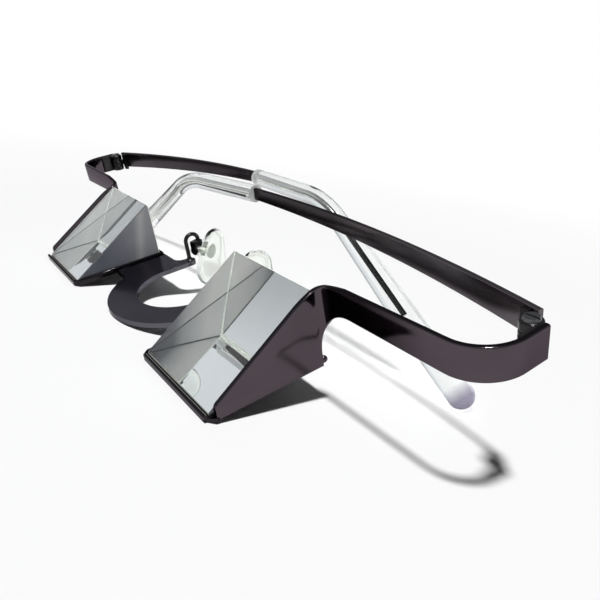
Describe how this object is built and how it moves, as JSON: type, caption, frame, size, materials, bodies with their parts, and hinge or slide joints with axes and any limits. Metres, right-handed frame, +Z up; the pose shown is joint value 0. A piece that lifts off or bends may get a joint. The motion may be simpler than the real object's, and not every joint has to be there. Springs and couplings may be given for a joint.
{
  "type": "prism belay glasses",
  "caption": "Belay glasses with a wedge prism before each eye, a flat horseshoe bridge, clear nose pads and folding temples with clear tips, lying folded.",
  "frame": {"origin": "on the table under the middle of the folded glasses", "axes": "+X to the wearer's right, +Y from the prisms' front edges towards the face side, +Z up from the table"},
  "size_m": [0.1498, 0.0446, 0.0305],
  "materials": {
    "frame_metal": "glossy black",
    "spring_strip": "glossy black",
    "hinge_metal": "black",
    "screw_steel": "darkened",
    "optical_glass": "polished",
    "mirror_layer": "mirror",
    "clear_tube": "clear",
    "pad_core": "satin",
    "clear_pad": "clear"
  },
  "bodies": {
    "front": {"bridge": "frame_metal", "tray_right": "frame_metal", "tray_left": "frame_metal", "prism_right": "optical_glass", "prism_left": "optical_glass", "mirror_right": "mirror_layer", "mirror_left": "mirror_layer", "hinge_front_right": "hinge_metal", "hinge_front_left": "hinge_metal", "hinge_screw_right": "screw_steel", "hinge_screw_left": "screw_steel", "pad_arm_right": "hinge_metal", "pad_arm_left": "hinge_metal", "pad_screw_right": "screw_steel", "pad_screw_left": "screw_steel"},
    "temple_right": {"temple_right": "spring_strip", "temple_tip_right": "clear_tube", "hinge_temple_right": "hinge_metal"},
    "temple_left": {"temple_left": "spring_strip", "temple_tip_left": "clear_tube", "hinge_temple_left": "hinge_metal"},
    "pad_right": {"nose_pad_right": "clear_pad", "pad_core_right": "pad_core"},
    "pad_left": {"nose_pad_left": "clear_pad", "pad_core_left": "pad_core"}
  },
  "joints": [
    {"name": "temple_right_hinge", "type": "hinge", "parent": "front", "child": "temple_right", "pos_m": [0.07235, 0.00429, 0.02204], "axis": [0, 0.315, -0.9491], "range_deg": [0, 89]},
    {"name": "temple_left_hinge", "type": "hinge", "parent": "front", "child": "temple_left", "pos_m": [-0.07235, 0.00429, 0.02204], "axis": [0, -0.315, 0.9491], "range_deg": [0, 83]},
    {"name": "pad_right_rock", "type": "hinge", "parent": "front", "child": "pad_right", "pos_m": [0.01099, 0.00239, 0.01077], "axis": [-0.342, -0.8919, -0.296], "range_deg": [-8, 8]},
    {"name": "pad_left_rock", "type": "hinge", "parent": "front", "child": "pad_left", "pos_m": [-0.01099, 0.00239, 0.01077], "axis": [0.342, -0.8919, -0.296], "range_deg": [-8, 8]}
  ]
}
